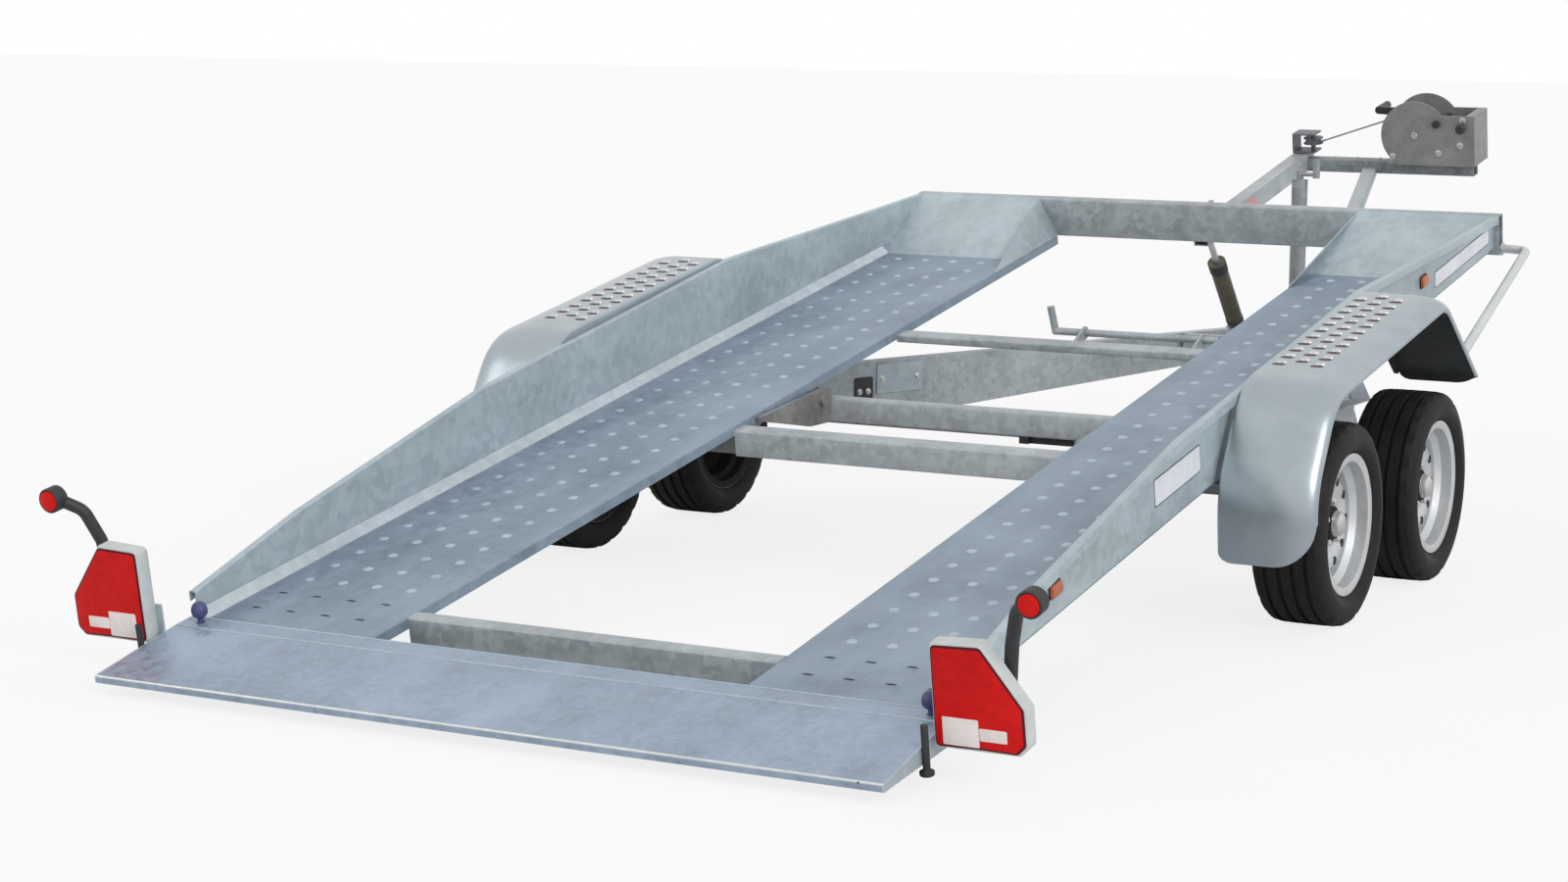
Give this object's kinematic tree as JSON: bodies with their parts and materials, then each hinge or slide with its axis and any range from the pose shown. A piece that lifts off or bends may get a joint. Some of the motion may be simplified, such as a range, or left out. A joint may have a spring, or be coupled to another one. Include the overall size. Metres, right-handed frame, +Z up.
{
  "type": "car trailer",
  "caption": "Open tandem axle car trailer with a tilting twin track deck, tipped back to the ground for loading, with mudguards, rear lamps, winch, ram and jockey stand.",
  "frame": {"origin": "on the floor, at the middle of the overall length and width", "axes": "+Y forward to the towing coupling, +X to the right of the trailer, +Z up"},
  "size_m": [2.548, 6.0016, 1.2761],
  "materials": {
    "galvanised": "hot dip galvanised, spangled, weathered and dusty",
    "dull_steel": "dull zinc with grime",
    "bright_steel": "bright zinc plated",
    "black_iron": "black paint, semi gloss",
    "black_plastic": "matt black rubber and plastic",
    "lamp_red": "moulded lens",
    "amber": "dusty moulded lens",
    "violet_knob": "worn moulded knob",
    "damper_olive": "dark olive paint",
    "tyre_rubber": "worn road tyre",
    "rim_silver": "silver wheel paint, dusty"
  },
  "bodies": {
    "chassis": {"drawbar_legs": "galvanised", "pivot_beam": "galvanised", "hinge_brackets": "dull_steel", "drawbar_crossings": "galvanised", "axle_tubes": "dull_steel", "swing_arms": "dull_steel", "brake_bracket": "black_iron", "drawbar_nose": "galvanised", "coupling_head": "black_iron", "jockey_stand": "dull_steel", "jockey_wheel": "black_plastic"},
    "deck": {"treads": "galvanised", "side_walls": "galvanised", "end_plates": "galvanised", "front_cross_member": "galvanised", "rear_ramp": "galvanised", "rear_cross_tube": "galvanised", "deck_beams": "galvanised", "deck_lugs": "dull_steel", "mudguards": "galvanised", "mudguard_stays": "bright_steel", "tongue": "galvanised", "winch_rail": "galvanised", "winch_brace": "galvanised", "rope_pulley": "dull_steel", "winch_frame": "dull_steel", "winch_rope": "bright_steel", "lamp_brackets": "galvanised", "rear_lamps": "lamp_red", "marker_arms": "black_plastic", "side_markers": "amber", "corner_knobs": "violet_knob"},
    "lock_lever": {"lock_lever": "bright_steel"},
    "ram_cylinder": {"ram_cylinder": "damper_olive"},
    "ram_rod": {"ram_rod": "bright_steel"},
    "winch_drum": {"winch_drum": "dull_steel"},
    "winch_crank": {"winch_crank": "dull_steel"},
    "front_left_wheel": {"front_left_tyre": "tyre_rubber", "front_left_rim": "rim_silver"},
    "front_right_wheel": {"front_right_tyre": "tyre_rubber", "front_right_rim": "rim_silver"},
    "rear_left_wheel": {"rear_left_tyre": "tyre_rubber", "rear_left_rim": "rim_silver"},
    "rear_right_wheel": {"rear_right_tyre": "tyre_rubber", "rear_right_rim": "rim_silver"}
  },
  "joints": [
    {"name": "deck_tilt", "type": "hinge", "parent": "chassis", "child": "deck", "pos_m": [0, -0.47521, 0.44], "axis": [1, 0, 0], "range_deg": [-10.04, 0]},
    {"name": "ram_pivot", "type": "hinge", "parent": "chassis", "child": "ram_cylinder", "pos_m": [-0.07, 1.83579, 0.47], "axis": [1, 0, 0], "range_deg": [0, 31.99]},
    {"name": "ram_slide", "type": "slide", "parent": "ram_cylinder", "child": "ram_rod", "axis": [0, -0.6724, 0.7402], "range_m": [-0.2332, 0]},
    {"name": "winch_turn", "type": "hinge", "parent": "deck", "child": "winch_drum", "pos_m": [0.43, 2.24328, 1.14635], "axis": [0, 0.9847, 0.1743], "continuous": true},
    {"name": "crank_turn", "type": "hinge", "parent": "deck", "child": "winch_crank", "pos_m": [0.508, 2.23595, 1.1877], "axis": [0, 0.9847, 0.1743], "continuous": true},
    {"name": "lock_turn", "type": "hinge", "parent": "deck", "child": "lock_lever", "pos_m": [0.45, 0.17581, 0.60604], "axis": [1, 0, 0], "range_deg": [0, 60]},
    {"name": "front_left_roll", "type": "hinge", "parent": "chassis", "child": "front_left_wheel", "pos_m": [-1.12, -0.02721, 0.2625], "axis": [1, 0, 0], "continuous": true},
    {"name": "front_right_roll", "type": "hinge", "parent": "chassis", "child": "front_right_wheel", "pos_m": [1.12, -0.02721, 0.2625], "axis": [1, 0, 0], "continuous": true},
    {"name": "rear_left_roll", "type": "hinge", "parent": "chassis", "child": "rear_left_wheel", "pos_m": [-1.12, -0.77121, 0.2625], "axis": [1, 0, 0], "continuous": true},
    {"name": "rear_right_roll", "type": "hinge", "parent": "chassis", "child": "rear_right_wheel", "pos_m": [1.12, -0.77121, 0.2625], "axis": [1, 0, 0], "continuous": true}
  ],
  "couplings": [
    {"joint": "ram_pivot", "follows": "deck_tilt", "ratio": -3.1809},
    {"joint": "ram_slide", "follows": "deck_tilt", "m_per_rad": 1.3293},
    {"joint": "crank_turn", "follows": "winch_turn", "ratio": -4}
  ]
}
